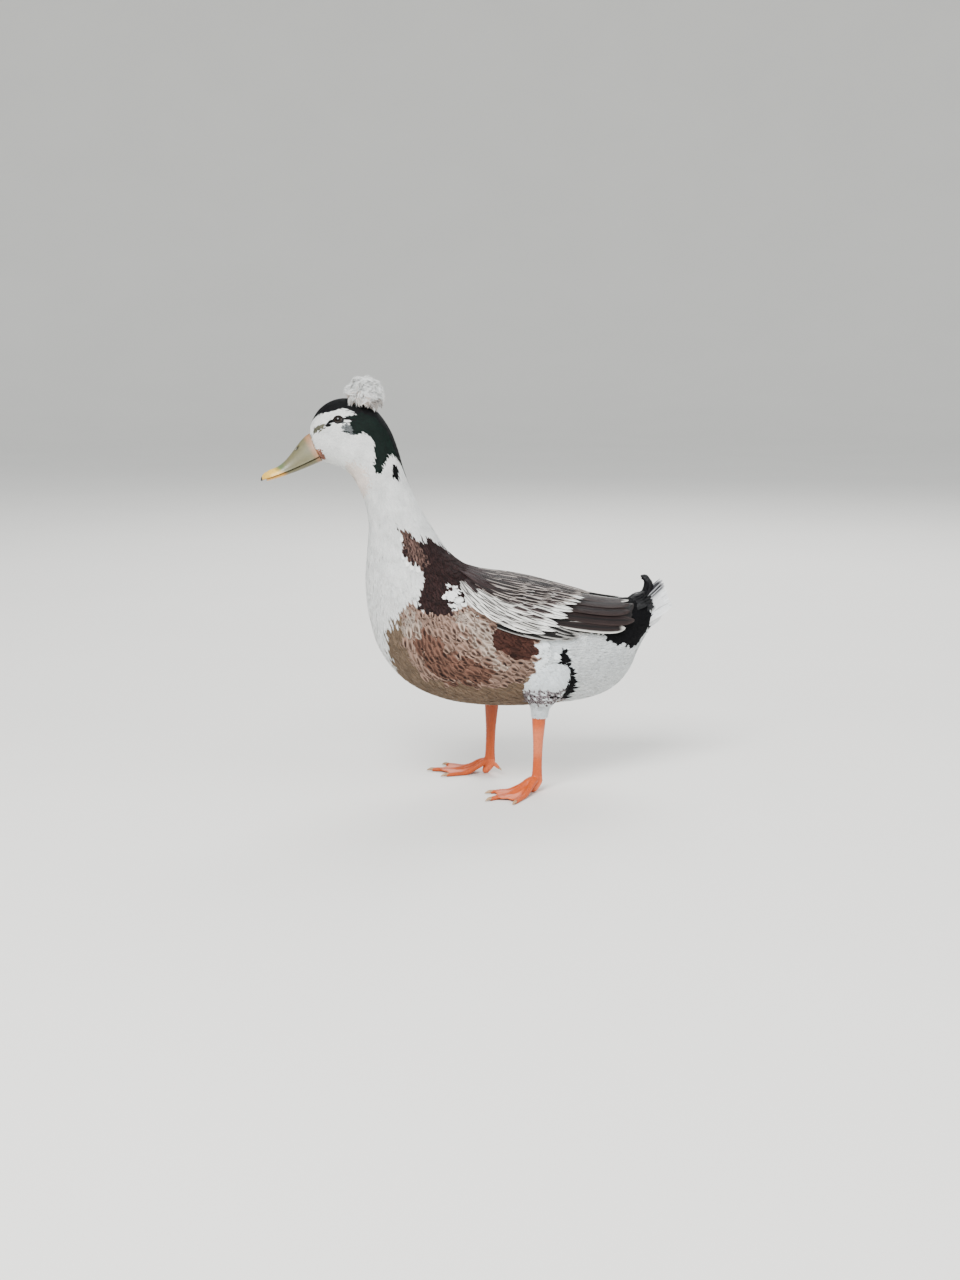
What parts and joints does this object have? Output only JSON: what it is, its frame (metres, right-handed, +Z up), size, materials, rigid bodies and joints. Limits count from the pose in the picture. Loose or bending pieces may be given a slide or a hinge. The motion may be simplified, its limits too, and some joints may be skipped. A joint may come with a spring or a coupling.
{
  "type": "crested duck",
  "caption": "Standing crested duck, a still life-size figure with a tuft on the crown, folded wings and webbed feet.",
  "frame": {"origin": "middle of the bounding box, at the floor that the feet stand on", "axes": "+Z up, -X the way the body faces, -Y the bird's left side"},
  "size_m": [0.413, 0.1748, 0.417],
  "materials": {
    "body_plumage": "feathered, brown with dark spots and pale edges",
    "pale_plumage": "feathered, white",
    "head_plumage": "feathered, green-black over white",
    "tail_plumage": "feathered, black with white outer feathers",
    "bill": "smooth horn, olive with a yellow tip",
    "eyes": "wet and glossy",
    "leg_skin": "scaled skin, orange"
  },
  "bodies": {
    "root": {"torso": "body_plumage", "neck": "pale_plumage", "head": "head_plumage", "crest": "pale_plumage", "bill_upper": "bill", "bill_lower": "bill", "eye_left": "eyes", "eye_right": "eyes", "wing_left": "body_plumage", "wing_right": "body_plumage", "tail": "tail_plumage", "thigh_left": "pale_plumage", "thigh_right": "pale_plumage", "shank_left": "leg_skin", "shank_right": "leg_skin", "foot_left": "leg_skin", "foot_right": "leg_skin"}
  },
  "joints": []
}
